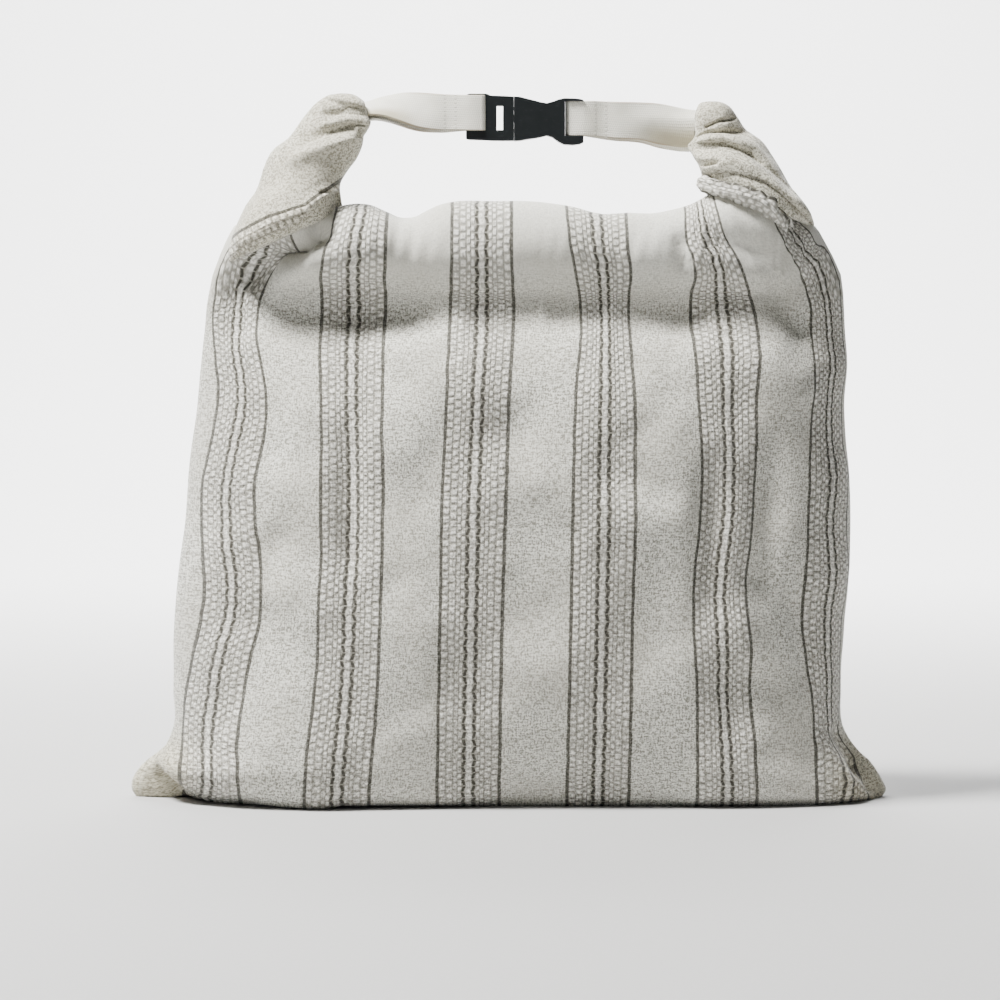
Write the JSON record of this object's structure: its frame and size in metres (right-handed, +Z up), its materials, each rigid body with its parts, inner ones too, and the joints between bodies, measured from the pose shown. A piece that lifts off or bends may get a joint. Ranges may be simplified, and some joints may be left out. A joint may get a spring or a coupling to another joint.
{
  "type": "linen bread bag with a rolled mouth and a buckled hand loop",
  "caption": "Standing linen bag with woven stripes, its mouth rolled to the back and the roll's ends joined by a webbing strap with a side-release buckle.",
  "frame": {"origin": "on the floor, under the middle of the standing bag's box", "axes": "+X runs across the bag to the viewer's right, from the left stem to the right stem; +Y runs from the front to the back, where the mouth is rolled; +Z is up"},
  "size_m": [0.409, 0.1302, 0.3794],
  "materials": {
    "linen": "natural off-white woven linen with raised stripes and dark threads",
    "webbing": "cream ribbed cotton webbing",
    "buckle_plastic": "black moulded plastic, satin"
  },
  "bodies": {
    "root": {"bag": "linen", "webbing_left": "webbing", "webbing_right": "webbing", "buckle_plug": "buckle_plastic", "buckle_socket": "buckle_plastic"}
  },
  "joints": []
}
